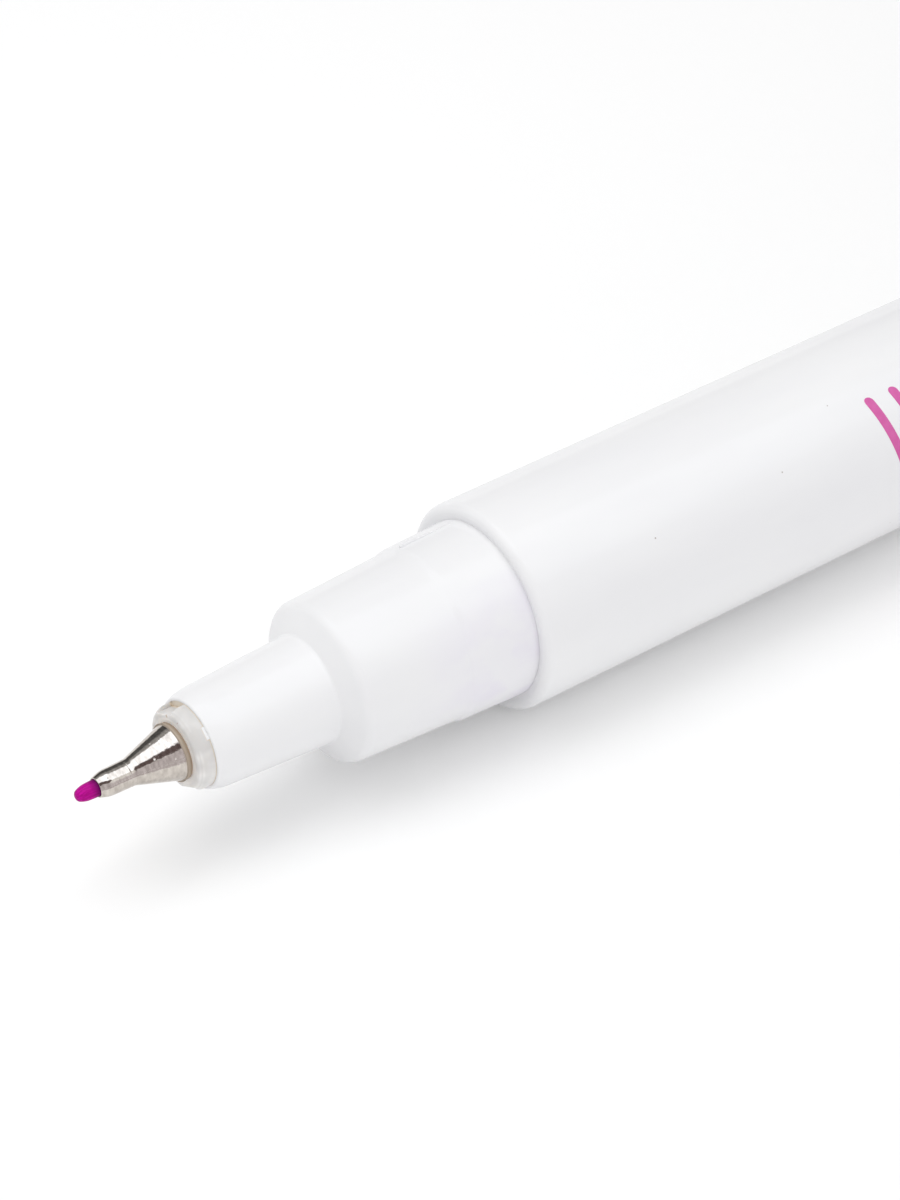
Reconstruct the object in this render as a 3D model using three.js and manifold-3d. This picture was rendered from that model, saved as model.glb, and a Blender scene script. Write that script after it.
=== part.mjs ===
// A fine-tipped marker for drawing on cloth, uncapped, with its cap pushed on the tail.
// It lies on a table: +X runs along the pen towards the tail, +Z is up, and the origin is on the
// table under the middle of the whole pen. The cap's clip touches the table and stops it rolling.
//
// The pen is drawn along its own Y axis, with +Z up, and is then laid along X. Places along the
// axis are counted from the barrel's front face, towards the tail, so the nib's are negative.
// Sizes are in millimetres. Angles round the axis start at the top and lean towards -Y.
import * as THREE from "three";
import { mergeVertices } from "three/addons/utils/BufferGeometryUtils.js";
import Module from "manifold-3d";

const wasm = await Module();
wasm.setup();

// Gap, as drawn, between pieces that are pressed or pushed together.
const fitGap = 0.05;
const fineGap = 0.03;

// Barrel: a moulded tube with ribs inside that centre the ink reservoir.
const barrelRadius = 5.0;
const barrelLength = 92;
const barrelWall = 0.9;
const barrelFrontRound = 0.45;
const barrelRearRound = 0.15;
const boreLeadIn = 0.2;
const ribHeight = 0.6;
const ribWidth = 0.7;
const ribCount = 6;
const ribEndMargin = 2;

// Seat: the stepped form that the cap grips, on the nose and again on the tail post.
const seatStep = 0.75;
const seatLength = 8.8;
const seatTaper = 0.24;
const bandLength = 3.3;
const bandTaper = 0.1;
const bandStep = 0.12;
const seatRound = 0.4;

// Spigots, pressed in the barrel's two ends, each with a bead that snaps in a groove.
const spigotLength = 8;
const beadHeight = 0.1;
const beadLength = 1.2;
const beadInset = 2.5;

// Nose: seat, sloped shoulder and slim snout, with the nib's sleeve in its mouth.
const shoulderLength = 0.65;
const shoulderHollow = 0.35;
const snoutLength = 6.1;
const snoutTaper = 0.27;
const mouthRadius = 2.0;
const mouthWall = 0.28;
const mouthLand = 0.07;
const mouthRoundLength = 0.5;
const mouthRound = 0.4;
const partingRidgeHeight = 0.05;
const partingRidgeWidth = 0.14;
const airRoomWall = 1.0;
const airRoomLength = 4.5;
const partingAngle = -23.5;

// Tip sleeve: holds the metal tip in the nose. Air gets past it in two channels, and two keys in
// the nose's mouth stop it turning.
const sleeveStandout = 0.77;
const sleeveFaceRadius = 1.62;
const sleeveRoundLength = 0.42;
const sleeveLength = 7.2;
const channelWidth = 1.25;
const channelDepth = 0.3;
const channelAngle = -27;
const keyWidth = 0.68;
const keyDepth = 0.2;
const keyLength = 1.6;
const keywayLead = 0.17;
const keyAngle = 43;

// Metal tip: a turned sheath for the nib, a slim tube that flares to a rimmed shank.
const tubeLength = 1.7;
const tubeWall = 0.155;
const tubeMouthRound = 0.12;
const neckSwell = 0.03;
const neckHollow = 0.5;
const coneLength = 2.08;
const rimRadius = 1.31;
const rimLength = 0.24;
const rimStep = 0.04;
const shankLength = 3.1;
const shankStep = 0.1;
const shankWall = 0.2;

// Ink train: the nib, the fibre wick that it is pushed in, and the reservoir in its film.
const nibRadius = 0.39;
const nibStandout = 1.0;
const nibFlatRadius = 0.24;
const nibCrown = 0.7;
const nibTail = 1.5;
const wickWall = 0.5;
const wickInset = 0.5;
const wickReach = 12;
const ventRoom = 0.4;
const reservoirInset = 3.4;
const reservoirBevel = 0.25;
const filmWall = 0.1;

// Tail plug: closes the barrel, carries the post that the cap is pushed on, and holds the
// reservoir forward with crossed fins.
const collarLength = 1.2;
const plugWall = 0.9;
const finReach = 8.4;
const finWidth = 0.9;
const finBite = 0.1;

// Cap: a shell with a moulded clip, a soft seal for the snout and a vented end plug.
const capLength = 38;
const capTaper = 0.15;
const capBoreStep = 0.2;
const capEndRound = 0.3;
const sealClearance = 0.9;
const sealWall = 0.5;
const sealGrip = 0.08;
const sealMouthFlare = 0.3;
const sealNibRoom = 1.6;
const sealEndWall = 0.8;
const sealFlangeLength = 2.4;
const plugHeadLength = 1.6;
const plugHeadInset = 0.5;
const plugHeadRound = 0.5;
const plugSpigotLength = 4;
const plugSpigotWall = 0.8;
const ventWidth = 1.0;
const ventDepth = 0.5;
const ventCount = 4;

// Clip: a springy bar beside the cap, with a pad that pinches the cloth of a pocket.
const clipLength = 30;
const clipWidth = 3.6;
const clipThickness = 1.1;
const clipStandoff = 1.25;
const clipEdgeRound = 0.35;
const clipTipRound = 1.2;
const clipEndInset = 1.5;
const clipRootLength = 3.4;
const clipRootHollow = 1.0;
const clipBite = 0.35;
const clipPadLength = 4.5;
const clipPadGap = 0.35;
const clipTipLift = 0.5;

// Facets round a turned piece and round a slim one, and steps round a fillet and along the clip's
// curves. With 36 facets the pen has a flat underneath.
const facets = 36;
const slimFacets = 24;
const filletSteps = 2;
const clipCurveSteps = 4;

// The most of a side that a fillet may take, and the bend below which a corner gets none.
const filletShare = 0.48;
const smallestBend = 0.01;

// Radii that follow from the sizes above.
const boreRadius = barrelRadius - barrelWall;
const spigotRadius = boreRadius - fitGap;
const filmRadius = boreRadius - ribHeight - fitGap;
const coreRadius = filmRadius - filmWall - fineGap;
const chamberRadius = filmRadius + fitGap;
const bandRadius = barrelRadius - seatStep;
const seatRearRadius = bandRadius - bandTaper - bandStep;
const seatFrontRadius = seatRearRadius - seatTaper;
const airRoomRadius = seatFrontRadius - airRoomWall;
const snoutTipRadius = mouthRadius + mouthWall;
const snoutRootRadius = snoutTipRadius + snoutTaper;
const sleeveRadius = mouthRadius - fineGap;
const tubeBore = nibRadius + fineGap;
const tubeRadius = tubeBore + tubeWall;
const shankRadius = rimRadius - shankStep;
const shankBore = shankRadius - shankWall;
const wickRadius = nibRadius + fineGap + wickWall;
const ventRadius = wickRadius + ventRoom;
const capTailRadius = barrelRadius - capTaper;
const capBore = seatFrontRadius - capBoreStep;
const clipInner = barrelRadius + clipStandoff;
const clipFace = clipInner + clipThickness;

// Places along the axis that follow from the sizes above.
const snoutRoot = -seatLength - shoulderLength;
const mouth = snoutRoot - snoutLength;
const sleeveFace = mouth - sleeveStandout;
const sleeveEnd = sleeveFace + sleeveLength;
const rimFront = sleeveFace - rimLength;
const neck = rimFront - coneLength;
const tubeMouth = neck - tubeLength;
const shankEnd = sleeveFace + shankLength;
const nibTip = tubeMouth - nibStandout;
const wickFront = rimFront + wickInset;
const nibEnd = wickFront + nibTail;
const reservoirFront = -reservoirInset;
const reservoirEnd = barrelLength - spigotLength - finReach;
const wickEnd = reservoirFront + wickReach;
const postStart = barrelLength + collarLength;
const postEnd = postStart + seatLength;
const capMouth = postStart + fitGap;
const capEnd = capMouth + capLength;
const sealMouth = capMouth + seatLength + shoulderLength + sealClearance;
const sealFloor = capMouth - nibTip + sealNibRoom;
const sealEnd = sealFloor + sealEndWall;
const clipEnd = capEnd - clipEndInset;
const clipTip = clipEnd - clipLength;

// A turned outline from its corners, each [place along the axis, radius, fillet]. A fillet is
// made smaller where its neighbours leave too little room.
function filleted(corners) {
  const points = [];
  corners.forEach(([along, radius, fillet = 0], i) => {
    const corner = new THREE.Vector2(radius, along);
    const before = corners.at(i - 1);
    const after = corners[(i + 1) % corners.length];
    const back = new THREE.Vector2(before[1], before[0]).sub(corner);
    const ahead = new THREE.Vector2(after[1], after[0]).sub(corner);
    const room = filletShare * Math.min(back.length(), ahead.length());
    back.normalize();
    ahead.normalize();
    const halfAngle = Math.acos(THREE.MathUtils.clamp(back.dot(ahead), -1, 1)) / 2;
    if (fillet === 0 || Math.PI / 2 - halfAngle < smallestBend) {
      points.push(corner);
      return;
    }
    const reach = Math.min(fillet / Math.tan(halfAngle), room);
    const bisector = back.clone().add(ahead).normalize();
    const centre = bisector.multiplyScalar(reach / Math.cos(halfAngle)).add(corner);
    const first = back.multiplyScalar(reach).add(corner).sub(centre);
    const last = ahead.multiplyScalar(reach).add(corner).sub(centre);
    const sweep = Math.atan2(first.cross(last), first.dot(last));
    for (let step = 0; step <= filletSteps; step++) {
      const angle = (sweep * step) / filletSteps;
      points.push(first.clone().rotateAround(new THREE.Vector2(), angle).add(centre));
    }
  });
  return points;
}

// A solid of revolution. Its corners go round the section either way; where two of them lie on
// the axis, they are the first and the last.
function turned(corners, count = facets) {
  const outline = filleted(corners);
  if (THREE.ShapeUtils.area(outline) < 0) outline.reverse();
  if (corners[0][1] > 0) outline.push(outline[0].clone());
  return new THREE.LatheGeometry(outline, count, Math.PI / count);
}

// A mesh's shape as a solid for joining and cutting, and back again.
function solid(geometry) {
  const shape = geometry.clone();
  shape.deleteAttribute("normal");
  shape.deleteAttribute("uv");
  const merged = mergeVertices(shape, 1e-4);
  const vertProperties = new Float32Array(merged.getAttribute("position").array);
  const triVerts = new Uint32Array(merged.getIndex().array);
  return new wasm.Manifold(new wasm.Mesh({ numProp: 3, vertProperties, triVerts }));
}

function meshed(shape) {
  const { vertProperties, triVerts } = shape.getMesh();
  const geometry = new THREE.BufferGeometry();
  geometry.setAttribute("position", new THREE.BufferAttribute(vertProperties, 3));
  geometry.setIndex(new THREE.BufferAttribute(triVerts, 1));
  geometry.computeVertexNormals();
  return geometry;
}

// Bars along the pen, evenly spaced round its axis, each reaching from one radius to another.
function bars({ count, width, from, to, start, end, angle = 0 }) {
  return Array.from({ length: count }, (_, i) => {
    const bar = new THREE.BoxGeometry(width, end - start, to - from);
    bar.translate(0, (start + end) / 2, (from + to) / 2);
    bar.rotateY(THREE.MathUtils.degToRad(angle) + (i * 2 * Math.PI) / count);
    return solid(bar);
  });
}

const join = (shape, others) => others.reduce((sum, other) => sum.add(other), shape);
const cut = (shape, tools) => tools.reduce((rest, tool) => rest.subtract(tool), shape);

function piece(name, geometry, finish) {
  const mesh = new THREE.Mesh(geometry, new THREE.MeshStandardMaterial(finish));
  mesh.name = name;
  return mesh;
}

const whitePlastic = { color: 0xf2f2f4, roughness: 0.42 };
const paleSleevePlastic = { color: 0xdcdad6, roughness: 0.5 };
const inkColouredPlastic = { color: 0xa5278f, roughness: 0.38 };
const softSealPlastic = { color: 0xe6e3e8, roughness: 0.6 };
const nickelPlate = { color: 0xc9c4bc, roughness: 0.22, metalness: 1 };
const inkedFibre = { color: 0x8f0c83, roughness: 0.8 };
const clearFilm = { color: 0xe8e4ea, roughness: 0.3 };

// Corners of the seat's outside. It starts with its wide end, the snap band, at `start` and
// runs `way` along the axis: -1 towards the nib, 1 towards the tail.
function seat(start, way) {
  return [
    [start, bandRadius],
    [start + way * bandLength, bandRadius - bandTaper],
    [start + way * (bandLength + bandStep), seatRearRadius],
    [start + way * seatLength, seatFrontRadius, seatRound],
  ];
}

// Corners of a spigot's outside, from its root at `start` to its end.
function spigot(start, way) {
  const bead = start + way * (spigotLength - beadInset);
  const half = beadLength / 2;
  return [
    [start, spigotRadius],
    [bead - way * half, spigotRadius],
    [bead - way * (half - beadHeight), spigotRadius + beadHeight],
    [bead + way * (half - beadHeight), spigotRadius + beadHeight],
    [bead + way * half, spigotRadius],
    [start + way * (spigotLength - boreLeadIn), spigotRadius],
    [start + way * spigotLength, spigotRadius - boreLeadIn],
  ];
}

// Corners of the barrel's bore round such a spigot.
function socket(start, way) {
  const groove = start + way * (spigotLength - beadInset);
  const half = beadLength / 2 + fitGap;
  return [
    [start, boreRadius + boreLeadIn / 2],
    [start + way * boreLeadIn, boreRadius],
    [groove - way * half, boreRadius],
    [groove - way * (half - beadHeight), boreRadius + beadHeight],
    [groove + way * (half - beadHeight), boreRadius + beadHeight],
    [groove + way * half, boreRadius],
  ];
}

function barrel() {
  const tube = turned([
    [0, barrelRadius, barrelFrontRound],
    [barrelLength, barrelRadius, barrelRearRound],
    ...socket(barrelLength, -1),
    ...socket(0, 1).reverse(),
  ]);
  const ribs = bars({
    count: ribCount,
    width: ribWidth,
    from: boreRadius - ribHeight,
    to: boreRadius + barrelWall / 2,
    start: spigotLength + ribEndMargin,
    end: barrelLength - spigotLength - ribEndMargin,
  });
  return piece("barrel", meshed(join(solid(tube), ribs)), whitePlastic);
}

function noseSection() {
  const body = turned([
    [mouth, mouthRadius],
    [mouth, mouthRadius + mouthLand],
    [mouth + mouthRoundLength, snoutTipRadius, mouthRound],
    [snoutRoot, snoutRootRadius, shoulderHollow],
    ...seat(-fineGap, -1).reverse(),
    ...spigot(-fineGap, 1),
    [spigotLength - fineGap, chamberRadius],
    [reservoirFront - fitGap, chamberRadius],
    [reservoirFront - fitGap, airRoomRadius],
    [reservoirFront - airRoomLength, airRoomRadius, airRoomWall / 2],
    [reservoirFront - airRoomLength, ventRadius],
    [sleeveEnd + fitGap, ventRadius],
    [sleeveEnd + fitGap, mouthRadius],
  ]);
  const keys = bars({
    count: 2,
    width: keyWidth - 2 * fineGap,
    from: mouthRadius - keyDepth + fineGap,
    to: mouthRadius + mouthWall / 2,
    start: mouth + mouthLand,
    end: mouth + keyLength,
    angle: keyAngle,
  });
  const partingRidges = bars({
    count: 2,
    width: partingRidgeWidth,
    from: seatFrontRadius,
    to: bandRadius + partingRidgeHeight,
    start: -bandLength,
    end: -fineGap,
    angle: partingAngle,
  });
  return piece("nose_section", meshed(join(solid(body), [...keys, ...partingRidges])), whitePlastic);
}

function tipSleeve() {
  const body = turned([
    [sleeveFace, shankRadius + fineGap],
    [sleeveFace, sleeveFaceRadius, sleeveRoundLength / 2],
    [sleeveFace + sleeveRoundLength, sleeveRadius, sleeveRoundLength / 2],
    [sleeveEnd, sleeveRadius],
    [sleeveEnd, wickRadius + fitGap],
    [shankEnd + fitGap, wickRadius + fitGap],
    [shankEnd + fitGap, shankRadius + fineGap],
  ]);
  const channels = bars({
    count: 2,
    width: channelWidth,
    from: sleeveRadius - channelDepth,
    to: barrelRadius,
    start: sleeveFace - sleeveStandout,
    end: sleeveEnd + sleeveStandout,
    angle: channelAngle,
  });
  const keyways = bars({
    count: 2,
    width: keyWidth,
    from: mouthRadius - keyDepth,
    to: barrelRadius,
    start: mouth - keywayLead,
    end: mouth + keyLength + fitGap,
    angle: keyAngle,
  });
  return piece("tip_sleeve", meshed(cut(solid(body), [...channels, ...keyways])), paleSleevePlastic);
}

function metalTip() {
  const body = turned(
    [
      [tubeMouth, tubeBore],
      [tubeMouth, tubeRadius, tubeMouthRound],
      [neck, tubeRadius + neckSwell, neckHollow],
      [rimFront, rimRadius - rimStep],
      [rimFront, rimRadius],
      [sleeveFace - fineGap, rimRadius],
      [sleeveFace - fineGap, shankRadius],
      [shankEnd, shankRadius],
      [shankEnd, shankBore],
      [rimFront, shankBore],
      [neck, tubeBore],
    ],
    slimFacets,
  );
  return piece("metal_tip", body, nickelPlate);
}

function nib() {
  const body = turned(
    [
      [nibTip, 0],
      [nibTip, nibFlatRadius, nibRadius],
      [nibTip + nibCrown, nibRadius, nibCrown],
      [nibEnd, nibRadius],
      [nibEnd, 0],
    ],
    slimFacets,
  );
  return piece("nib", body, inkedFibre);
}

function wick() {
  const body = turned(
    [
      [nibEnd + fineGap, 0],
      [nibEnd + fineGap, nibRadius + fineGap],
      [wickFront, nibRadius + fineGap],
      [wickFront, wickRadius],
      [wickEnd, wickRadius],
      [wickEnd, 0],
    ],
    slimFacets,
  );
  return piece("wick", body, inkedFibre);
}

function inkReservoir() {
  const body = turned(
    [
      [wickEnd + fineGap, 0],
      [wickEnd + fineGap, wickRadius + fineGap],
      [reservoirFront, wickRadius + fineGap],
      [reservoirFront, coreRadius - reservoirBevel],
      [reservoirFront + reservoirBevel, coreRadius],
      [reservoirEnd - reservoirBevel, coreRadius],
      [reservoirEnd, coreRadius - reservoirBevel],
      [reservoirEnd, 0],
    ],
    slimFacets,
  );
  return piece("ink_reservoir", body, inkedFibre);
}

function reservoirFilm() {
  const start = reservoirFront + reservoirBevel;
  const end = reservoirEnd - reservoirBevel;
  const body = turned(
    [
      [start, filmRadius],
      [end, filmRadius],
      [end, filmRadius - filmWall],
      [start, filmRadius - filmWall],
    ],
    slimFacets,
  );
  return piece("reservoir_film", body, clearFilm);
}

function tailPlug() {
  const hollow = spigotRadius - plugWall;
  const postHollow = seatFrontRadius - plugWall;
  const body = turned([
    [postEnd - plugWall, 0],
    [postEnd - plugWall, postHollow],
    [postStart, postHollow],
    [barrelLength, hollow],
    [barrelLength - spigotLength, hollow],
    ...spigot(barrelLength + fineGap, -1).reverse(),
    [barrelLength + fineGap, barrelRadius, barrelRearRound],
    [postStart, barrelRadius, barrelRearRound],
    ...seat(postStart, 1),
    [postEnd, 0],
  ]);
  const fins = bars({
    count: 4,
    width: finWidth,
    from: 0,
    to: postHollow + finBite,
    start: reservoirEnd + fitGap,
    end: postEnd - plugWall / 2,
  });
  return piece("tail_plug", meshed(join(solid(body), fins)), inkColouredPlastic);
}

// The clip seen from the side: root on the cap's wall, straight bar, and a curved pad at the tip.
function clipSide() {
  const side = new THREE.Shape();
  const wallRadius = capTailRadius - clipBite;
  const padFoot = barrelRadius + clipPadGap;
  const padMiddle = clipTip + clipPadLength / 2;
  side.moveTo(wallRadius, clipEnd);
  side.lineTo(clipFace - clipTipRound, clipEnd);
  side.quadraticCurveTo(clipFace, clipEnd, clipFace, clipEnd - clipTipRound);
  side.lineTo(clipFace, clipTip + clipTipLift);
  side.quadraticCurveTo(clipFace, clipTip, clipInner + clipTipLift, clipTip);
  side.quadraticCurveTo(padFoot, clipTip + clipTipLift, padFoot, padMiddle);
  side.quadraticCurveTo(padFoot, clipTip + clipPadLength - clipTipLift, clipInner, clipTip + clipPadLength);
  side.lineTo(clipInner, clipEnd - clipRootLength - clipRootHollow);
  side.quadraticCurveTo(clipInner, clipEnd - clipRootLength, clipInner - clipRootHollow, clipEnd - clipRootLength);
  side.lineTo(wallRadius, clipEnd - clipRootLength);
  return side;
}

// The clip seen from outside, with its round tip, as a mask for the side view.
function clipPlan() {
  const half = clipWidth / 2;
  const plan = new THREE.Shape();
  plan.moveTo(-half, capEnd);
  plan.lineTo(-half, clipTip + clipTipRound);
  plan.quadraticCurveTo(-half, clipTip, 0, clipTip);
  plan.quadraticCurveTo(half, clipTip, half, clipTip + clipTipRound);
  plan.lineTo(half, capEnd);
  return plan;
}

function clip() {
  const sideView = new THREE.ExtrudeGeometry(clipSide(), {
    depth: clipWidth - 2 * clipEdgeRound,
    bevelThickness: clipEdgeRound,
    bevelSize: clipEdgeRound,
    bevelOffset: -clipEdgeRound,
    bevelSegments: filletSteps,
    curveSegments: clipCurveSteps,
  });
  sideView.rotateY(-Math.PI / 2);
  sideView.translate(clipWidth / 2 - clipEdgeRound, 0, 0);
  const planView = new THREE.ExtrudeGeometry(clipPlan(), {
    depth: 2 * barrelRadius,
    bevelEnabled: false,
    curveSegments: clipCurveSteps,
  });
  return solid(sideView).intersect(solid(planView));
}

function capShell() {
  const shell = turned([
    [capMouth, barrelRadius],
    [capEnd, capTailRadius, capEndRound],
    [capEnd, capBore],
    [capMouth + seatLength + fitGap, capBore],
    [capMouth + seatLength + fitGap, seatFrontRadius + fitGap],
    [capMouth + bandLength + 2 * bandStep, seatRearRadius + fitGap],
    [capMouth + bandLength + bandStep, bandRadius - bandTaper + fitGap],
    [capMouth + boreLeadIn, bandRadius + fitGap],
    [capMouth, bandRadius + fitGap + boreLeadIn],
  ]);
  return piece("cap_shell", meshed(join(solid(shell), [clip()])), inkColouredPlastic);
}

function capSeal() {
  const bore = snoutRootRadius - sealGrip;
  const flangeStart = sealEnd - sealFlangeLength;
  const body = turned([
    [sealFloor, 0],
    [sealFloor, bore - snoutTaper],
    [sealMouth + sealMouthFlare, bore],
    [sealMouth, bore + sealMouthFlare],
    [sealMouth, bore + sealWall],
    [flangeStart, bore + sealWall],
    [flangeStart, capBore - fineGap],
    [sealEnd, capBore - fineGap],
    [sealEnd, 0],
  ]);
  return piece("cap_seal", body, softSealPlastic);
}

function capEndPlug() {
  const head = capBore - fineGap;
  const body = turned([
    [capEnd + plugHeadLength - plugHeadInset, 0],
    [capEnd + plugHeadLength - plugHeadInset, head - plugHeadInset, plugHeadRound],
    [capEnd - plugHeadInset, head],
    [capEnd - plugSpigotLength, head],
    [capEnd - plugSpigotLength, head - plugSpigotWall],
    [capEnd - plugHeadLength, head - plugSpigotWall],
    [capEnd - plugHeadLength, 0],
  ]);
  const vents = bars({
    count: ventCount,
    width: ventWidth,
    from: head - ventDepth,
    to: barrelRadius,
    start: capEnd - plugSpigotLength - ventDepth,
    end: capEnd + plugHeadLength,
  });
  return piece("cap_end_plug", meshed(cut(solid(body), vents)), inkColouredPlastic);
}

// The turn from straight up that brings the clip's lower edge down to the table.
function clipTurn() {
  const across = clipWidth / 2 - clipEdgeRound;
  const out = clipFace - clipEdgeRound;
  const drop = (barrelRadius - clipEdgeRound) / Math.hypot(across, out);
  return Math.PI / 2 + Math.asin(drop) - Math.atan2(across, out);
}

const cap = new THREE.Group();
cap.add(capShell(), capSeal(), capEndPlug());
cap.rotation.y = clipTurn();

const pen = new THREE.Group();
pen.add(nib(), metalTip(), tipSleeve(), noseSection(), wick(), inkReservoir(), reservoirFilm());
pen.add(barrel(), tailPlug(), cap);
pen.rotation.z = -Math.PI / 2;

const box = new THREE.Box3().setFromObject(pen, true);
const middle = box.getCenter(new THREE.Vector3());
pen.position.set(-middle.x, -middle.y, -box.min.z);

const marker = new THREE.Group();
marker.add(pen);

export default marker;
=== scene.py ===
from math import cos, pi, radians, sin

import bmesh
import bpy
from mathutils import Matrix, Vector


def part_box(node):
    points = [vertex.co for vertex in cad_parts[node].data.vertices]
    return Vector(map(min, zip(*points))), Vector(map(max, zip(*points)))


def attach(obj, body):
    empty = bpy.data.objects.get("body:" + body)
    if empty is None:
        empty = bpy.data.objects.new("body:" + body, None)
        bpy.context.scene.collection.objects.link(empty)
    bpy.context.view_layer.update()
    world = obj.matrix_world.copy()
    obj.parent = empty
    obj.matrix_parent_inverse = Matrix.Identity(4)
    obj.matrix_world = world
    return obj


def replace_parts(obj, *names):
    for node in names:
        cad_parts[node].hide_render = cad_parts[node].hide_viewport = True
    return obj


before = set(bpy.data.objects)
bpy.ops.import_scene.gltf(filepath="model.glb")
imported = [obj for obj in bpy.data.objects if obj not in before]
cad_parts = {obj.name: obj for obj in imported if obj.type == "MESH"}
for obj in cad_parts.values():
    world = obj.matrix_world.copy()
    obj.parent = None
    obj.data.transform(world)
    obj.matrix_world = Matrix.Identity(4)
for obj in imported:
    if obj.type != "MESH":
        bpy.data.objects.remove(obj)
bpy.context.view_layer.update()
scene = bpy.context.scene

# Barrel. A straight tube of white polypropylene, injection moulded round a polished core pin. It
# is even and softly glossy outside, and the nose and the tail plug are pressed in its two ends.
MM = 0.001
barrel_low, barrel_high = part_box("barrel")
front = barrel_low.x
axis_y = (barrel_low.y + barrel_high.y) / 2
axis_z = (barrel_low.z + barrel_high.z) / 2
barrel_length = (barrel_high.x - barrel_low.x) / MM
barrel_radius = 4.98
bore_radius = 4.1
band_radius = 4.25
face_dish = 0.1


def finished(name, bm):
    """The piece as an object: smooth, but creased where faces meet at more than 35 degrees."""
    for face in bm.faces:
        face.smooth = True
    for edge in bm.edges:
        edge.smooth = len(edge.link_faces) == 2 and edge.calc_face_angle() < radians(35)
    mesh = bpy.data.meshes.new(name)
    bm.to_mesh(mesh)
    bm.free()
    piece = bpy.data.objects.new(name, mesh)
    scene.collection.objects.link(piece)
    return piece


def spun(name, corners, steps=128):
    """A round piece from the corners of half its section, spun about the pen's axis.

    A corner is its place along the pen, counted from the barrel's front, and its radius, in
    millimetres. A third number says how much of each side a rounding takes. A piece with no hole
    starts and ends on the axis.
    """
    bm = bmesh.new()
    chain = [bm.verts.new((front + c[0] * MM, axis_y, axis_z + c[1] * MM)) for c in corners]
    ends = chain[1:] + chain[:1] if corners[0][1] > 0 else chain[1:]
    for start, end in zip(chain, ends):
        bm.edges.new((start, end))
    for corner, vert in zip(corners, chain):
        if len(corner) > 2:
            bmesh.ops.bevel(bm, geom=[vert], offset=corner[2] * MM, segments=6, profile=0.5,
                            affect="VERTICES", material=-1)
    bmesh.ops.spin(bm, geom=bm.verts[:] + bm.edges[:], cent=(0, axis_y, axis_z), axis=(1, 0, 0),
                   angle=2 * pi, steps=steps, use_merge=True)
    bmesh.ops.remove_doubles(bm, verts=bm.verts, dist=0.0001 * MM)
    bmesh.ops.recalc_face_normals(bm, faces=bm.faces)
    return finished(name, bm)


def linear(code):
    """An sRGB hex colour as the linear numbers that a shader takes."""
    parts = [int(code[i:i + 2], 16) / 255 for i in (1, 3, 5)]
    return [p / 12.92 if p <= 0.04045 else ((p + 0.055) / 1.055) ** 2.4 for p in parts] + [1]


def add(tree, kind, inputs=None, output=0, **settings):
    """Adds a node and gives one of its outputs. Its inputs take values or other nodes' outputs.

    A Map Range turns the range from its inputs 1 and 2 to the one from 3 to 4, or to 0 to 1. A
    Mix blends the colours at its inputs 6 and 7, and its output is 2.
    """
    new = tree.nodes.new(kind)
    for key, value in settings.items():
        setattr(new, key, value)
    for key, value in (inputs or {}).items():
        if isinstance(value, bpy.types.NodeSocket):
            tree.links.new(value, new.inputs[key])
        else:
            new.inputs[key].default_value = value
    return new.outputs[output]


def blotches(tree, place, along, across, detail=2.0):
    """Noise whose blotches are `along` mm long down the pen and `across` mm wide round it."""
    scale = (1 / (along * MM), 1 / (across * MM), 1 / (across * MM))
    scaled = add(tree, "ShaderNodeMapping", {"Vector": place, "Scale": scale})
    return add(tree, "ShaderNodeTexNoise", {"Vector": scaled, "Scale": 1.0, "Detail": detail})


def new_material(name):
    """A material, its node tree, its shader, and the place from the barrel's front on the axis."""
    made = bpy.data.materials.new(name)
    made.use_nodes = True
    tree = made.node_tree
    place = add(tree, "ShaderNodeTexCoord", output="Object")
    place = add(tree, "ShaderNodeMapping", {"Vector": place, "Location": (-front, -axis_y, -axis_z)})
    return made, tree, tree.nodes["Principled BSDF"], place


def moulded_plastic(name, colour, shade, speck, roughness):
    """Injection-moulded plastic: the colour drifts a little along the melt's flow, with a burnt
    speck here and there, and over a dull body lies the thin gloss of the mould's wall, broken up
    by its fine grain, 0.3 mm across."""
    made, tree, shader, place = new_material(name)
    drift = add(tree, "ShaderNodeMapRange", {0: blotches(tree, place, 14, 4, 3.0), 1: 0.3, 2: 0.7})
    body = add(tree, "ShaderNodeMix", {0: drift, 6: linear(colour), 7: linear(shade)}, 2, data_type="RGBA")
    away = add(tree, "ShaderNodeTexVoronoi", {"Vector": place, "Scale": 1 / (2.2 * MM)})
    burnt = add(tree, "ShaderNodeMapRange", {0: away, 1: 0.012, 2: 0.025, 3: 1, 4: 0})
    body = add(tree, "ShaderNodeMix", {0: burnt, 6: body, 7: linear(speck)}, 2, data_type="RGBA")
    tree.links.new(body, shader.inputs["Base Color"])
    shader.inputs["IOR"].default_value = 1.49
    shader.inputs["Specular IOR Level"].default_value = 0.12
    shader.inputs["Coat Weight"].default_value = 0.36
    shader.inputs["Coat Roughness"].default_value = 0.03
    uneven = {0: blotches(tree, place, 3, 1.5), 1: 0.3, 2: 0.7, 3: roughness - 0.03, 4: roughness + 0.05}
    tree.links.new(add(tree, "ShaderNodeMapRange", uneven), shader.inputs["Roughness"])
    grain = blotches(tree, place, 0.3, 0.3)
    bump = add(tree, "ShaderNodeBump", {"Height": grain, "Distance": 0.0008 * MM})
    tree.links.new(bump, shader.inputs["Normal"])
    return made


white_polypropylene = moulded_plastic("white_moulded_polypropylene", "#f3f3f4", "#eeeef0", "#b5aca8", 0.5)
barrel = spun("barrel_tube", [
    (face_dish, bore_radius),
    (face_dish, band_radius),
    (0, 4.55),
    (0, barrel_radius, 0.4),
    (barrel_length, barrel_radius, 0.15),
    (barrel_length, bore_radius),
])
barrel.data.materials.append(white_polypropylene)
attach(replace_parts(barrel, "barrel"), "pen")

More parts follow.
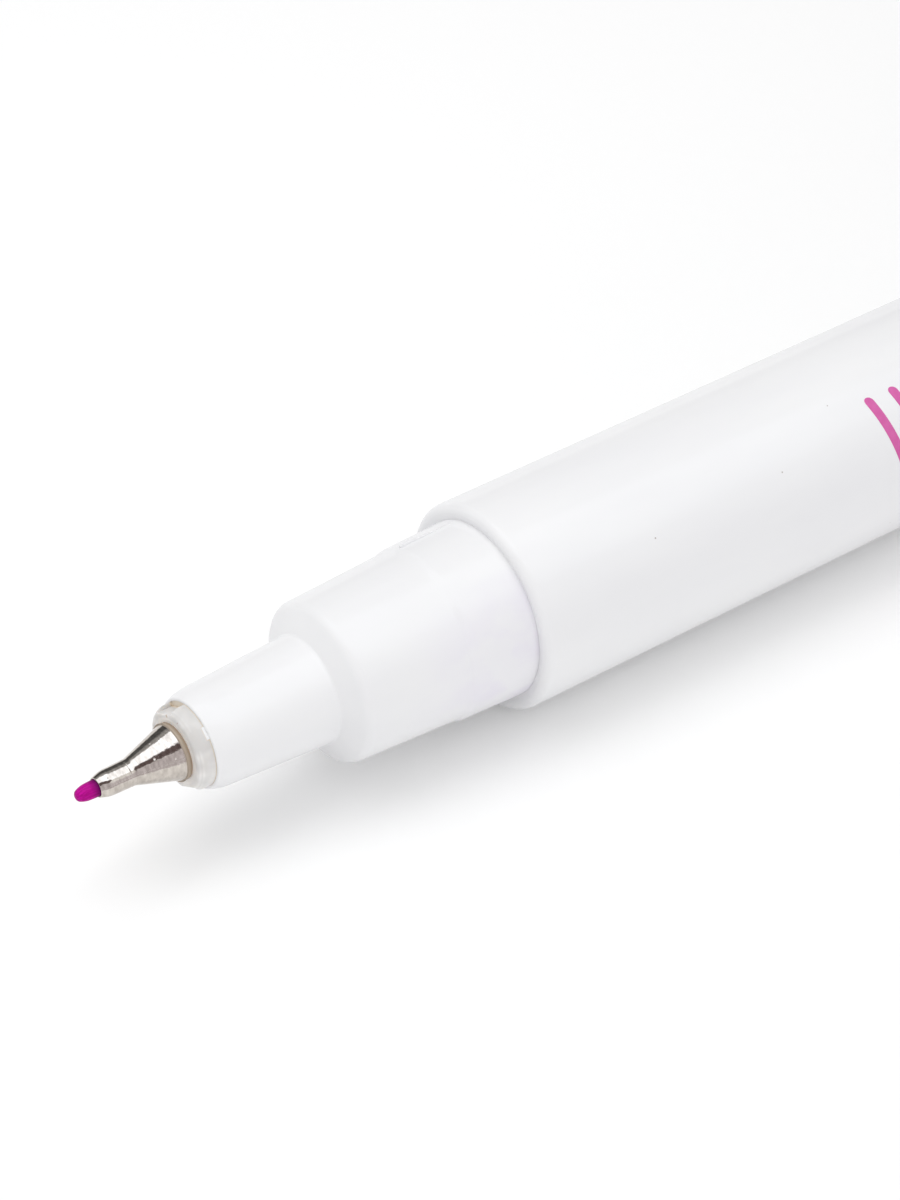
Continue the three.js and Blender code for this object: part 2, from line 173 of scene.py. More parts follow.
# Nose. One moulding of the same white plastic: a snout for the hand to steer by, a shoulder, and
# a tapered seat with a snap band that the cap grips. Its spigot is pressed in the barrel.
mouth = -15.55
socket_end = -9.07
socket_radius = 1.975
snout_root = -9.45
seat_end = -8.8
seat_radius = 3.79
band_length = 3.3
spigot_radius = 4.05
spigot_end = 7.9
wick_hole = 1.3
nose = spun("nose_moulding", [
    (mouth, socket_radius, 0.015),
    (mouth, 2.1, 0.06),
    (mouth + 0.5, 2.28, 0.34),
    (snout_root, 2.55, 0.08),
    (seat_end, seat_radius, 0.3),
    (-band_length - 0.15, 4.03, 0.1),
    (-band_length + 0.15, 4.13, 0.12),
    (0.28, band_radius),
    (0.28, spigot_radius),
    (spigot_end, spigot_radius),
    (spigot_end, 3.5),
    (-band_length - 0.15, 3.5),
    (-band_length - 0.15, 2.8),
    (-7.9, 2.8),
    (-7.9, wick_hole),
    (socket_end, wick_hole),
    (socket_end, socket_radius),
])


def shade_tinted(plastic):
    """The plastic with a faint violet tint, in patches on the side towards the camera and growing towards
    the band: painted cool shade."""
    made = plastic.copy()
    made.name = "hazed_" + plastic.name
    tree = made.node_tree
    base = tree.nodes["Principled BSDF"].inputs["Base Color"]
    place = tree.nodes["Mapping"].outputs["Vector"]
    along = add(tree, "ShaderNodeSeparateXYZ", {0: place})
    sideways = add(tree, "ShaderNodeSeparateXYZ", {0: place}, 1)
    near_band = add(tree, "ShaderNodeMapRange", {0: along, 1: (seat_end + 2) * MM, 2: -1.5 * MM})
    near_side = add(tree, "ShaderNodeMapRange", {0: sideways, 1: -4 * MM, 2: -2 * MM, 3: 1, 4: 0})
    patches = {0: blotches(tree, place, 3, 2, 4.0), 1: 0.4, 2: 0.6, 3: 0.3, 4: 1}
    patches = add(tree, "ShaderNodeMapRange", patches)
    share = add(tree, "ShaderNodeMath", {0: near_band, 1: near_side}, operation="MULTIPLY")
    share = add(tree, "ShaderNodeMath", {0: share, 1: patches}, operation="MULTIPLY")
    body = base.links[0].from_socket
    # Painted shade: a faint violet tint where the side towards the camera lies in shade.
    body = add(tree, "ShaderNodeMix", {0: share, 6: body, 7: linear("#ebe8f1")}, 2, data_type="RGBA")
    tree.links.new(body, base)
    return made


nose.data.materials.append(shade_tinted(white_polypropylene))
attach(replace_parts(nose, "nose_section"), "pen")


def bar(bm, width, low_radius, high_radius, start, end, angle):
    """A bar along the pen, between two radii and two places, turned round the axis from the top."""
    size = Matrix.Diagonal(((end - start) * MM, width * MM, (high_radius - low_radius) * MM, 1))
    middle = (front + (start + end) / 2 * MM, 0, (low_radius + high_radius) / 2 * MM)
    turned = Matrix.Translation((0, axis_y, axis_z)) @ Matrix.Rotation(radians(angle), 4, "X")
    bmesh.ops.create_cube(bm, size=1, matrix=turned @ Matrix.Translation(middle) @ size)


# Parting ridges and keys. The nose's mould opens in two halves, and a hair of plastic stands
# along each joint on the snap band. Two keys in the mouth stop the tip sleeve turning. Both are
# part of the nose's moulding.
ridge_angle = -23.5
key_angle = 42.5
key_width = 0.6
key_start = mouth - 0.15
key_end = mouth + 1.6
ridge_bm = bmesh.new()
for angle in (ridge_angle, ridge_angle + 180):
    bar(ridge_bm, 0.15, 3.9, band_radius, -band_length + 0.2, 0, angle)
for angle in (key_angle, key_angle + 180):
    bar(ridge_bm, key_width, 1.76, 1.96, key_start, key_end, angle)
bmesh.ops.bevel(ridge_bm, geom=ridge_bm.edges[:], offset=0.04 * MM, segments=3, profile=0.5,
                affect="EDGES", material=-1)
ridges = finished("nose_ridges_and_keys", ridge_bm)
ridges.data.materials.append(white_polypropylene)
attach(ridges, "pen")


# Tip sleeve. A milky acetal bush, turned from rod, that holds the metal tip in the nose's mouth.
# Two channels let air past it, and two keyways stop it turning.
sleeve_face = -16.32
sleeve_end = -9.12
sleeve_radius = 1.97
shank_hole = 1.2
shank_stop = -13.17
wick_bore = 0.97
channel_angle = -27


def shaped(name, base, tools, operation="DIFFERENCE"):
    """The base piece after a mesh of tools is taken from it, or crossed with it."""
    tool = finished("tool", tools)
    change = base.modifiers.new("tools", "BOOLEAN")
    change.object = tool
    change.operation = operation
    change.solver = "EXACT"
    bm = bmesh.new()
    bm.from_mesh(base.evaluated_get(bpy.context.evaluated_depsgraph_get()).to_mesh())
    for used in (base, tool):
        bpy.data.meshes.remove(used.data)
    bmesh.ops.remove_doubles(bm, verts=bm.verts, dist=0.0005 * MM)
    return finished(name, bm)


air_tools = bmesh.new()
for angle in (channel_angle, channel_angle + 180):
    bar(air_tools, 1.25, sleeve_radius - 0.3, 5, sleeve_face - 0.5, mouth + 0.05, angle)
for angle in (key_angle, key_angle + 180):
    bar(air_tools, key_width - 0.02, sleeve_radius - 0.2, 5, key_start + 0.02, key_end + 0.05, angle)
sleeve = shaped("tip_bush", spun("sleeve_blank", [
    (sleeve_face, shank_hole, 0.03),
    (sleeve_face, 1.8, 0.14),
    (sleeve_face + 0.3, sleeve_radius, 0.14),
    (sleeve_end, sleeve_radius),
    (sleeve_end, wick_bore),
    (shank_stop, wick_bore),
    (shank_stop, shank_hole),
]), air_tools)


def on_surface(along, radius, angle):
    """A place from the barrel's front on the axis: along the pen, out from it, and round it from
    the top towards the camera."""
    return Vector((along, -radius * sin(radians(angle)), radius * cos(radians(angle)))) * MM


def milky_acetal():
    """Natural acetal, machined: milky, a little see-through at its edges, with fine rings left by the
    turning tool. The real rings are about 0.02 mm apart and are drawn at 0.08 mm. Painted light makes it
    paler round the metal, against the shade there. Painted shade tints it tan where it enters the nose and
    along the keys. Ink and dust have left two small spots on its face."""
    made, tree, shader, place = new_material("natural_turned_acetal")
    across = add(tree, "ShaderNodeVectorMath", {0: place, 1: (0, 1, 1)}, operation="MULTIPLY")
    radius = add(tree, "ShaderNodeVectorMath", {0: across}, "Value", operation="LENGTH")
    rings = blotches(tree, add(tree, "ShaderNodeCombineXYZ", {0: radius}), 0.08, 1.0, 1.0)
    patches = add(tree, "ShaderNodeMapRange", {0: blotches(tree, place, 0.9, 0.9), 1: 0.3, 2: 0.7})
    cut = add(tree, "ShaderNodeMath", {0: rings, 1: patches}, operation="MULTIPLY")
    cut = add(tree, "ShaderNodeMapRange", {0: cut, 1: 0.1, 2: 0.6})
    tones = {0: cut, 6: linear("#d8d6d4"), 7: linear("#f0eeec")}
    colour = add(tree, "ShaderNodeMix", tones, 2, data_type="RGBA")
    # Painted light: paler round the metal, to cancel the shade that the rim throws on the face.
    painted_light_near_rim = add(tree, "ShaderNodeMapRange", {0: radius, 1: 1.3 * MM, 2: 1.6 * MM, 3: 1, 4: 0})
    colour = add(tree, "ShaderNodeMix", {0: painted_light_near_rim, 6: colour, 7: linear("#fffbf6")}, 2, data_type="RGBA")
    key_side = on_surface(0, 1 / MM, key_angle - 90)
    aside = add(tree, "ShaderNodeVectorMath", {0: place, 1: key_side}, "Value", operation="DOT_PRODUCT")
    aside = add(tree, "ShaderNodeMath", {0: aside}, operation="ABSOLUTE")
    keyed = {0: aside, 1: (key_width / 2 + 0.01) * MM, 2: (key_width / 2 + 0.04) * MM, 3: 0.115 * MM, 4: 0}
    keyed = add(tree, "ShaderNodeMapRange", keyed)
    reach = add(tree, "ShaderNodeMath", {0: add(tree, "ShaderNodeSeparateXYZ", {0: place}), 1: keyed})
    # Painted shade: a warm tan where the sleeve lies in shade inside the nose's mouth and beside the keys.
    painted_gap_shade = add(tree, "ShaderNodeMapRange", {0: reach, 1: (mouth - 0.06) * MM, 2: (mouth - 0.02) * MM})
    colour = add(tree, "ShaderNodeMix", {0: painted_gap_shade, 6: colour, 7: linear("#e8dccb")}, 2, data_type="RGBA")
    for spot_radius, angle, size, code in ((1.69, 9.5, 0.035, "#a8767a"), (1.63, -19, 0.09, "#c9b8a8")):
        spot = on_surface(sleeve_face, spot_radius, angle)
        away = add(tree, "ShaderNodeVectorMath", {0: place, 1: spot}, "Value", operation="DISTANCE")
        dirt = add(tree, "ShaderNodeMapRange", {0: away, 1: size / 2 * MM, 2: size * MM, 3: 1, 4: 0})
        colour = add(tree, "ShaderNodeMix", {0: dirt, 6: colour, 7: linear(code)}, 2, data_type="RGBA")
    tree.links.new(colour, shader.inputs["Base Color"])
    shader.inputs["Roughness"].default_value = 0.42
    shader.inputs["IOR"].default_value = 1.48
    shader.inputs["Subsurface Weight"].default_value = 0.6
    shader.inputs["Subsurface Radius"].default_value = (1.0, 0.9, 0.8)
    shader.inputs["Subsurface Scale"].default_value = 0.2 * MM
    bump = add(tree, "ShaderNodeBump", {"Height": rings, "Distance": 0.004 * MM})
    tree.links.new(bump, shader.inputs["Normal"])
    return made


sleeve.data.materials.append(milky_acetal())
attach(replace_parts(sleeve, "tip_sleeve"), "pen")

# Metal tip. A sheath turned from brass and nickel plated: a slim tube, rolled in at its mouth to
# guard the nib, a cone, and a rim that stops against the sleeve. Its shank is pressed in the
# sleeve's bore. The turning tool has left a faint ring just before the cone.
tube_mouth = -20.34
neck = -18.64
neck_radius = 0.62
rim_front = -16.56
rim_radius = 1.31
rim_back = sleeve_face + 0.02
shank_radius = 1.19
shank_end = -13.22
shank_bore = 0.99
metal = spun("tip_sheath", [
    (tube_mouth, 0.41, 0.01),
    (tube_mouth, 0.45, 0.02),
    (tube_mouth + 0.4, 0.593, 0.2),
    (neck - 0.25, 0.615),
    (neck - 0.24, 0.615),
    (neck - 0.22, 0.602),
    (neck - 0.2, 0.616),
    (neck - 0.19, 0.616),
    (neck, neck_radius, 0.05),
    (rim_front, 1.275, 0.02),
    (rim_front, rim_radius, 0.02),
    (rim_back, rim_radius, 0.02),
    (rim_back, shank_radius),
    (shank_end, shank_radius),
    (shank_end, shank_bore),
    (rim_front, shank_bore),
    (neck + 0.03, 0.42),
], steps=160)


def nickel_plate():
    """Nickel over turned brass: a warm grey mirror, clouded a little, with the tool's rings and a
    fine pebbling showing through the plating, and a few nicks. The real rings are about 0.01 mm
    apart and are drawn at 0.08 mm. On the rim the plating has gone dull and brown."""
    made, tree, shader, place = new_material("nickel_plated_turned_brass")
    along = add(tree, "ShaderNodeSeparateXYZ", {0: place})
    tarnish = add(tree, "ShaderNodeMapRange", {0: along, 1: (rim_front - 0.02) * MM, 2: rim_front * MM})
    rim_share = add(tree, "ShaderNodeMapRange", {0: along, 1: rim_front * MM, 2: sleeve_face * MM})
    rim_colour = add(tree, "ShaderNodeValToRGB", {0: rim_share})
    ramp = rim_colour.node.color_ramp
    stops = ((0.0, "#a39584"), (0.1, "#b9ab9b"), (0.5, "#b0a190"), (0.8, "#9f8e7a"), (1.0, "#b89d89"))
    for spot, code in stops[1:-1]:
        ramp.elements.new(spot)
    for element, (spot, code) in zip(ramp.elements, stops):
        element.position = spot
        element.color = linear(code)
    clouded = add(tree, "ShaderNodeMapRange", {0: blotches(tree, place, 0.18, 0.4, 3.0), 1: 0.3, 2: 0.7})
    tones = {0: clouded, 6: linear("#b9b1a9"), 7: linear("#dad3cb")}
    plate = add(tree, "ShaderNodeMix", tones, 2, data_type="RGBA")
    colour = add(tree, "ShaderNodeMix", {0: tarnish, 6: plate, 7: rim_colour}, 2, data_type="RGBA")
    tree.links.new(colour, shader.inputs["Base Color"])
    metallic = add(tree, "ShaderNodeMapRange", {0: tarnish, 3: 1, 4: 0.2})
    tree.links.new(metallic, shader.inputs["Metallic"])
    rough = {0: blotches(tree, place, 0.08, 0.9, 3.0), 1: 0.3, 2: 0.7, 3: 0.06, 4: 0.13}
    rough = add(tree, "ShaderNodeMapRange", rough)
    rough = add(tree, "ShaderNodeMath", {0: tarnish, 1: 0.35, 2: rough}, operation="MULTIPLY_ADD")
    tree.links.new(rough, shader.inputs["Roughness"])
    rings = blotches(tree, place, 0.08, 3.0)
    normal = add(tree, "ShaderNodeBump", {"Height": rings, "Distance": 0.0016 * MM})
    pebbles = blotches(tree, place, 0.12, 0.1, 3.0)
    normal = add(tree, "ShaderNodeBump", {"Height": pebbles, "Distance": 0.004 * MM, "Normal": normal})
    for spot, radius, angle, size in nicks:
        nick = on_surface(spot, radius, angle)
        away = add(tree, "ShaderNodeVectorMath", {0: place, 1: nick}, "Value", operation="DISTANCE")
        pit = add(tree, "ShaderNodeMapRange", {0: away, 1: 0, 2: size * MM})
        normal = add(tree, "ShaderNodeBump", {"Height": pit, "Distance": 0.03 * MM, "Normal": normal})
    tree.links.new(normal, shader.inputs["Normal"])
    return made


# Nicks in the plating: the place along the pen, the radius there, the angle and the nick's radius.
nicks = (
    (-17.55, 0.955, 0, 0.05),
    (-17.75, 0.895, 43, 0.055),
    (-16.95, 1.15, 62, 0.04),
    (-19.9, 0.59, 30, 0.03),
)
metal.data.materials.append(nickel_plate())
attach(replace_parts(metal, "metal_tip"), "pen")

# Nib. A rod of polyester fibres bonded with resin, ground to a round nose and soaked with ink.
# The fibres run along it and show as fine paler streaks.
nib_tip = -21.34
nib_end = -14.54
nib_radius = 0.39
nib = spun("fibre_nib", [
    (nib_tip, 0),
    (nib_tip, 0.2, 0.12),
    (nib_tip + 0.32, 0.36, 0.22),
    (nib_tip + 0.9, nib_radius, 0.3),
    (nib_end, nib_radius),
    (nib_end, 0),
], steps=64)


def inked_fibre():
    """Bonded fibre, soaked with ink: deep magenta, damp, with streaks of drier fibres, and darkened by
    painted shade where it enters the tube's mouth. The real fibres are 0.02 mm thick and are drawn at 0.06
    mm."""
    made, tree, shader, place = new_material("ink_soaked_bonded_fibre")
    fibres = blotches(tree, place, 1.2, 0.06, 3.0)
    streaks = add(tree, "ShaderNodeMapRange", {0: fibres, 1: 0.3, 2: 0.7})
    tones = {0: streaks, 6: linear("#980070"), 7: linear("#cc0aa0")}
    colour = add(tree, "ShaderNodeMix", tones, 2, data_type="RGBA")
    along = add(tree, "ShaderNodeSeparateXYZ", {0: place})
    # Painted shade: darker purple where the nib goes into the tube's mouth.
    painted_mouth_shade = add(tree, "ShaderNodeMapRange", {0: along, 1: (tube_mouth - 0.4) * MM, 2: tube_mouth * MM})
    colour = add(tree, "ShaderNodeMix", {0: painted_mouth_shade, 6: colour, 7: linear("#5e0052")}, 2, data_type="RGBA")
    tree.links.new(colour, shader.inputs["Base Color"])
    shader.inputs["Specular IOR Level"].default_value = 0.07
    rough = add(tree, "ShaderNodeMapRange", {0: fibres, 1: 0.3, 2: 0.7, 3: 0.38, 4: 0.55})
    tree.links.new(rough, shader.inputs["Roughness"])
    bump = add(tree, "ShaderNodeBump", {"Height": fibres, "Distance": 0.006 * MM})
    tree.links.new(bump, shader.inputs["Normal"])
    return made


soaked = inked_fibre()
nib.data.materials.append(soaked)
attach(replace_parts(nib, "nib"), "pen")


def dress(node, material):
    """Gives a CAD node that stays in view a finish."""
    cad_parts[node].data.materials.clear()
    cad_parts[node].data.materials.append(material)


# Wick and reservoir. The wick feeds the nib from a reservoir of crimped polyester fibres, which
# is wrapped in a clear film. All three are inside the barrel and stay as the CAD has them.
dress("wick", soaked)
dress("ink_reservoir", soaked)


def clear_film():
    """Clear polypropylene film: thin, glossy, and a little wrinkled over the fibres."""
    made, tree, shader, place = new_material("clear_polypropylene_film")
    shader.inputs["Base Color"].default_value = linear("#eee9f0")
    shader.inputs["Transmission Weight"].default_value = 0.85
    shader.inputs["IOR"].default_value = 1.49
    rough = {0: blotches(tree, place, 2, 2), 1: 0.3, 2: 0.7, 3: 0.1, 4: 0.2}
    tree.links.new(add(tree, "ShaderNodeMapRange", rough), shader.inputs["Roughness"])
    bump = add(tree, "ShaderNodeBump", {"Height": blotches(tree, place, 6, 1), "Distance": 0.01 * MM})
    tree.links.new(bump, shader.inputs["Normal"])
    return made


dress("reservoir_film", clear_film())

# Tail plug. A moulding in the ink's colour that closes the barrel and carries the post that the
# cap is pushed on. Fins inside it hold the reservoir forward.
ink_coloured = moulded_plastic("ink_coloured_moulded_polypropylene", "#a82a92", "#a0268a", "#96227f", 0.3)
flange_start = barrel_length + 0.03
post_start = barrel_length + 1.2
post_end = post_start + 8.8
post_floor = post_end - 0.9
post_bore = 2.89
insert_end = barrel_length - 7.97
insert_bore = 3.15
plug = spun("tail_post", [
    (post_end, 0),
    (post_end, seat_radius, 0.35),
    (post_start + band_length + 0.12, 4.03, 0.05),
    (post_start + band_length, 4.15, 0.05),
    (post_start, band_radius),
    (post_start, barrel_radius, 0.15),
    (flange_start, barrel_radius, 0.12),
    (flange_start, spigot_radius),
    (insert_end, spigot_radius),
    (insert_end, insert_bore),
    (barrel_length, insert_bore),
    (post_start, post_bore),
    (post_floor, post_bore),
    (post_floor, 0),
])
plug.data.materials.append(ink_coloured)
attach(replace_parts(plug, "tail_plug"), "pen")

# Cap. A tapered shell of the same coloured plastic. Its mouth snaps over the band on the nose, or
# on the tail post, where it is now.
cap_mouth = post_start + 0.05
cap_end = cap_mouth + 38
cap_bore = 3.59
cap_step = cap_mouth + 8.85
cap = spun("cap_tube", [
    (cap_mouth, barrel_radius, 0.12),
    (cap_end, 4.83, 0.25),
    (cap_end, cap_bore, 0.05),
    (cap_step, cap_bore),
    (cap_step, 3.84),
    (cap_mouth + 3.54, 4.08),
    (cap_mouth + 3.42, 4.2),
    (cap_mouth + 0.2, 4.3),
    (cap_mouth, 4.5),
])
cap.data.materials.append(ink_coloured)
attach(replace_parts(cap, "cap_shell"), "cap")

# Clip. A springy arm moulded on the cap's side. It is a side view made as thick as the arm is
# wide, crossed with its plan, which is rounded at the tip, and then turned to its place.
clip_turn = 118.87
clip_end = cap_end - 1.5
clip_tip = clip_end - 30
clip_root = clip_end - 3.4
clip_low = 4.5
clip_inner = 6.25
clip_face = 7.15
clip_width = 3.5
bead_radius = 5.36
clip_corners = [
    (clip_end, clip_low),
    (clip_end, clip_face, 1.0),
    (clip_tip, clip_face, 0.45),
    (clip_tip, 6.3, 0.5),
    (clip_tip + 1.3, bead_radius, 0.7),
    (clip_tip + 3.1, bead_radius, 0.8),
    (clip_tip + 4.6, clip_inner, 0.9),
    (clip_root, clip_inner, 0.9),
    (clip_root, clip_low),
]
side_bm = bmesh.new()
side_chain = [side_bm.verts.new((front + corner[0] * MM, -clip_width / 2 * MM, corner[1] * MM))
              for corner in clip_corners]
for start, end in zip(side_chain, side_chain[1:] + side_chain[:1]):
    side_bm.edges.new((start, end))
for corner, vert in zip(clip_corners, side_chain):
    if len(corner) > 2:
        bmesh.ops.bevel(side_bm, geom=[vert], offset=corner[2] * MM, segments=5, profile=0.5,
                        affect="VERTICES", material=-1)
side = bmesh.ops.contextual_create(side_bm, geom=side_bm.edges[:])["faces"]
pushed = bmesh.ops.extrude_face_region(side_bm, geom=side, use_keep_orig=True)["geom"]
pushed = [v for v in pushed if isinstance(v, bmesh.types.BMVert)]
bmesh.ops.translate(side_bm, vec=(0, clip_width * MM, 0), verts=pushed)
bmesh.ops.recalc_face_normals(side_bm, faces=side_bm.faces)

tip_share = 0.7
plan_length = 35
plan_height = 4
plan_bm = bmesh.new()
bmesh.ops.create_circle(plan_bm, cap_ends=True, radius=clip_width / 2 * MM, segments=48)
bmesh.ops.scale(plan_bm, vec=(tip_share, 1, 1), verts=plan_bm.verts)
stretched = [v for v in plan_bm.verts if v.co.x > 0.0001 * MM]
bmesh.ops.translate(plan_bm, vec=(plan_length * MM, 0, 0), verts=stretched)
plan_start = (front + (clip_tip + tip_share * clip_width / 2) * MM, 0, plan_height * MM)
bmesh.ops.translate(plan_bm, vec=plan_start, verts=plan_bm.verts)
pushed = bmesh.ops.extrude_face_region(plan_bm, geom=plan_bm.faces[:], use_keep_orig=True)["geom"]
pushed = [v for v in pushed if isinstance(v, bmesh.types.BMVert)]
bmesh.ops.translate(plan_bm, vec=(0, 0, plan_height * MM), verts=pushed)
bmesh.ops.recalc_face_normals(plan_bm, faces=plan_bm.faces)

clip_blank = shaped("clip_blank", finished("clip_side", side_bm), plan_bm, "INTERSECT")
clip_bm = bmesh.new()
clip_bm.from_mesh(clip_blank.data)
bpy.data.meshes.remove(clip_blank.data)
sharp = [e for e in clip_bm.edges if len(e.link_faces) == 2 and e.calc_face_angle() > radians(50)]
bmesh.ops.bevel(clip_bm, geom=sharp, offset=0.3 * MM, segments=4, profile=0.5, affect="EDGES",
                material=-1, clamp_overlap=True)
bmesh.ops.rotate(clip_bm, cent=(0, 0, 0), matrix=Matrix.Rotation(radians(clip_turn), 3, "X"),
                 verts=clip_bm.verts)
bmesh.ops.translate(clip_bm, vec=(0, axis_y, axis_z), verts=clip_bm.verts)
clip = finished("cap_clip", clip_bm)
clip.data.materials.append(ink_coloured)
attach(clip, "cap")

# Cap end plug. It closes the cap's end, with four notches so that a child who swallowed the cap
# could still breathe.
plug_head = cap_bore - 0.03
plug_bore = plug_head - 0.8
plug_skirt = cap_end - 4
plug_floor = cap_end - 1.6
vent_tools = bmesh.new()
for angle in range(0, 360, 90):
    bar(vent_tools, 1.0, plug_head - 0.5, 5, cap_end - 5, cap_end + 2, angle + clip_turn)
end_plug = shaped("cap_end_stopper", spun("plug_blank", [
    (cap_end + 1.1, 0),
    (cap_end + 1.1, plug_head - 0.5, 0.3),
    (cap_end - 0.5, plug_head, 0.2),
    (plug_skirt, plug_head),
    (plug_skirt, plug_bore),
    (plug_floor, plug_bore),
    (plug_floor, 0),
]), vent_tools)
end_plug.data.materials.append(ink_coloured)
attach(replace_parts(end_plug, "cap_end_plug"), "cap")

# Cap seal. A soft liner of polyethylene, deep in the cap, that closes round the snout and keeps
# the nib damp.
seal_mouth = cap_mouth + 10.35
seal_floor = cap_mouth + 22.94
seal_collar = seal_floor - 1.6
seal_back = seal_floor + 0.8
seal_radius = cap_bore - 0.03
seal_neck = 2.97
seal = spun("snout_seal", [
    (seal_floor, 0),
    (seal_floor, 2.2),
    (seal_mouth + 0.3, 2.47),
    (seal_mouth, 2.77, 0.05),
    (seal_mouth, seal_neck, 0.05),
    (seal_collar, seal_neck),
    (seal_collar, seal_radius),
    (seal_back, seal_radius),
    (seal_back, 0),
])
soft_polyethylene = moulded_plastic("soft_moulded_polyethylene", "#e9e6ea", "#e2dee4", "#c9c3c8", 0.5)
seal.data.materials.append(soft_polyethylene)
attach(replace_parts(seal, "cap_seal"), "cap")

# Print. Plain slanted bars pad printed on the barrel in pink ink, a film so thin that only its
# edge catches light. Each is made flat, cut across so that it can bend, and wrapped on the barrel.
bars_start = 20.6
bar_count = 12
bar_pitch = 1.5
bar_length = 7.0
bar_width = 0.5
bar_slant = 0.2
print_angle = 72
film_radius = barrel_radius + 0.002
film_depth = 0.008
cut_spacing = 0.2
cut_reach = 16
print_bm = bmesh.new()
for index in range(bar_count):
    bar_bm = bmesh.new()
    bmesh.ops.create_circle(bar_bm, cap_ends=True, radius=bar_width / 2, segments=24)
    reach = (bar_length - bar_width) / 2
    for vert in bar_bm.verts:
        vert.co.y += reach if vert.co.y > 0 else -reach
    for cut in range(-cut_reach, cut_reach + 1):
        bmesh.ops.bisect_plane(bar_bm, geom=bar_bm.verts[:] + bar_bm.edges[:] + bar_bm.faces[:],
                               plane_co=(0, cut * cut_spacing, 0), plane_no=(0, 1, 0), dist=0.0001)
    for vert in bar_bm.verts:
        along = bars_start + bar_pitch * (index + 0.5) + vert.co.x + vert.co.y * bar_slant
        angle = radians(print_angle) + vert.co.y / barrel_radius
        out = film_radius * MM
        vert.co = (front + along * MM, axis_y - sin(angle) * out, axis_z + cos(angle) * out)
    bar_mesh = bpy.data.meshes.new("bar")
    bar_bm.to_mesh(bar_mesh)
    bar_bm.free()
    print_bm.from_mesh(bar_mesh)
    bpy.data.meshes.remove(bar_mesh)
bmesh.ops.recalc_face_normals(print_bm, faces=print_bm.faces)
for face in print_bm.faces:
    outwards = face.calc_center_median() - Vector((0, axis_y, axis_z))
    outwards.x = 0
    if face.normal.dot(outwards) < 0:
        face.normal_flip()
bmesh.ops.solidify(print_bm, geom=print_bm.faces[:], thickness=-film_depth * MM)
marks = finished("printed_bars", print_bm)


def printing_ink():
    """Pad-printing ink: flat, even pink, with the faint mottle that the pad leaves."""
    made, tree, shader, place = new_material("pink_pad_printing_ink")
    mottle = add(tree, "ShaderNodeMapRange", {0: blotches(tree, place, 0.4, 0.4), 1: 0.3, 2: 0.7})
    tones = {0: mottle, 6: linear("#d55fa8"), 7: linear("#cf559f")}
    colour = add(tree, "ShaderNodeMix", tones, 2, data_type="RGBA")
    tree.links.new(colour, shader.inputs["Base Color"])
    rough = add(tree, "ShaderNodeMapRange", {0: mottle, 1: 0.3, 2: 0.7, 3: 0.4, 4: 0.5})
    tree.links.new(rough, shader.inputs["Roughness"])
    return made


marks.data.materials.append(printing_ink())
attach(marks, "pen")


def shown(tree):
    """1 for the rays that show a surface, straight, mirrored or through glass, and else 0."""
    rays = add(tree, "ShaderNodeLightPath").node.outputs
    direct = {0: rays["Is Camera Ray"], 1: rays["Is Glossy Ray"]}
    direct = add(tree, "ShaderNodeMath", direct, operation="MAXIMUM")
    return add(tree, "ShaderNodeMath", {0: direct, 1: rays["Is Transmission Ray"]}, operation="MAXIMUM")


# Table. A white laminate that melts into a white background. The light that it adds is seen only
# by the camera and in reflections, so that it stays white there and keeps the pen's shadow.
floor_bm = bmesh.new()
bmesh.ops.create_grid(floor_bm, x_segments=8, y_segments=8, size=3)
floor = finished("table", floor_bm)
laminate, tree, shader, place = new_material("white_laminate")
shader.inputs["Base Color"].default_value = linear("#f2f2f2")
shader.inputs["Roughness"].default_value = 0.7
glow = add(tree, "ShaderNodeMath", {0: shown(tree), 1: 0.12}, operation="MULTIPLY")
shader.inputs["Emission Color"].default_value = linear("#ffffff")
tree.links.new(glow, shader.inputs["Emission Strength"])
floor.data.materials.append(laminate)

# Room. An even white studio all round, a touch dimmer for the light that it sheds.
room_light = 0.72
room = bpy.data.worlds.new("white_studio")
scene.world = room
room.use_nodes = True
tree = room.node_tree
background = tree.nodes["Background"]
background.inputs["Color"].default_value = linear("#ffffff")
strength = add(tree, "ShaderNodeMapRange", {0: shown(tree), 3: room_light})
tree.links.new(strength, background.inputs["Strength"])

# Softbox. A soft lamp hangs level over the pen's tip, square to the camera, and gives the plastic
# its soft light from above. Everything in the studio is set out from the tip, as steps to the
# camera's right, away from the camera, and up.
turn = radians(-37.7)
tip = Vector((front + neck * MM, axis_y, axis_z))
studio = Matrix.Translation(tip) @ Matrix.Rotation(turn, 4, "Z")


def hang(light, place):
    """Hangs a light at a place in the studio, facing the tip. It lights, but doesn't show."""
    lamp = bpy.data.objects.new(light.name, light)
    scene.collection.objects.link(lamp)
    aimed = Vector(place).to_track_quat("Z", "Y").to_matrix().to_4x4()
    lamp.matrix_world = studio @ Matrix.Translation(place) @ aimed
    lamp.visible_camera = False
    lamp.visible_glossy = False


softbox = bpy.data.lights.new("softbox", "AREA")
softbox.shape = "RECTANGLE"
softbox.size = 0.18
softbox.size_y = 0.12
softbox.energy = 0.105
hang(softbox, (-0.03, 0.02, 0.16))

# Fill. A broad, faint light from the camera's right, low down and so far off that it is even.
fill = bpy.data.lights.new("fill", "SUN")
fill.angle = radians(35)
fill.energy = 0.48
hang(fill, (0.09, -0.12, 0.02))


